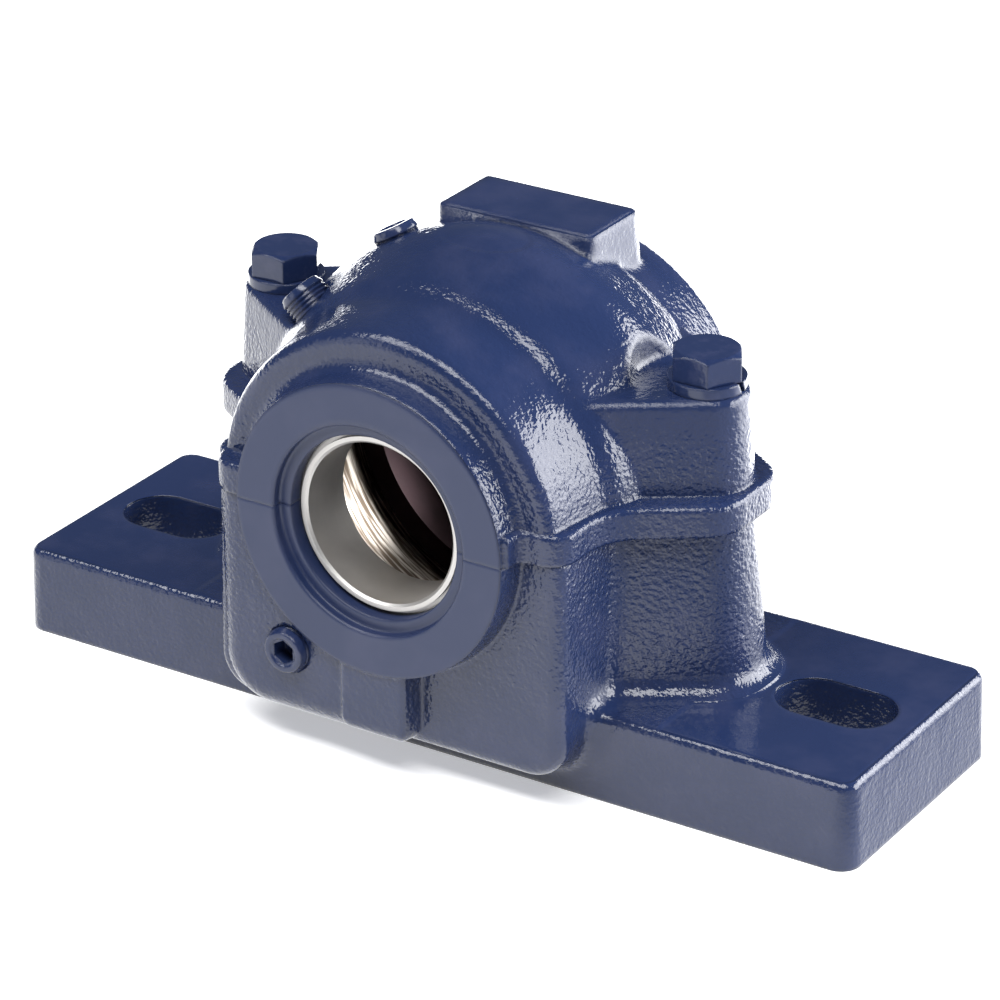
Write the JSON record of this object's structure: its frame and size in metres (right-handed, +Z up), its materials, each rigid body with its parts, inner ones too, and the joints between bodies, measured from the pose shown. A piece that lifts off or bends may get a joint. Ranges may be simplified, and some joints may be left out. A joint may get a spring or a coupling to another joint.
{
  "type": "pillow block housing",
  "caption": "Split cast pillow block housing with a slotted foot, a bolted cap and labyrinth seal rings round the shaft.",
  "frame": {"origin": "on the ground under the middle of the bearing seat, in the plane of the foot's underside", "axes": "+X along the foot towards the bolt column on the right of the front view, +Y along the shaft from the front to the rear, +Z up"},
  "size_m": [0.21, 0.094, 0.1075],
  "materials": {
    "navy_painted_iron": "gloss navy paint over rough sand casting, with machined end faces under the paint",
    "navy_painted_steel": "gloss navy paint over bright hardware",
    "machined_ring": "fine turned, semi-matt",
    "oily_ring": "ground steel with a film of brown oil",
    "plain_steel": "ground"
  },
  "bodies": {
    "housing": {"base_half": "navy_painted_iron", "cap_half": "navy_painted_iron", "locating_ring": "oily_ring", "cap_bolt_left": "navy_painted_steel", "cap_bolt_right": "navy_painted_steel", "spring_washer_left": "navy_painted_steel", "spring_washer_right": "navy_painted_steel", "dowel_pin_left": "plain_steel", "dowel_pin_right": "plain_steel", "drain_plug_front": "navy_painted_steel", "drain_plug_rear": "navy_painted_steel", "crown_plug": "navy_painted_steel", "flank_plug": "navy_painted_steel"},
    "front_seal": {"seal_ring_front": "machined_ring"},
    "rear_seal": {"seal_ring_rear": "machined_ring"}
  },
  "joints": [
    {"name": "front_seal_spin", "type": "hinge", "parent": "housing", "child": "front_seal", "pos_m": [0, -0.03465, 0.05715], "axis": [0, 1, 0], "continuous": true},
    {"name": "rear_seal_spin", "type": "hinge", "parent": "housing", "child": "rear_seal", "pos_m": [0, 0.03465, 0.05715], "axis": [0, 1, 0], "continuous": true}
  ]
}
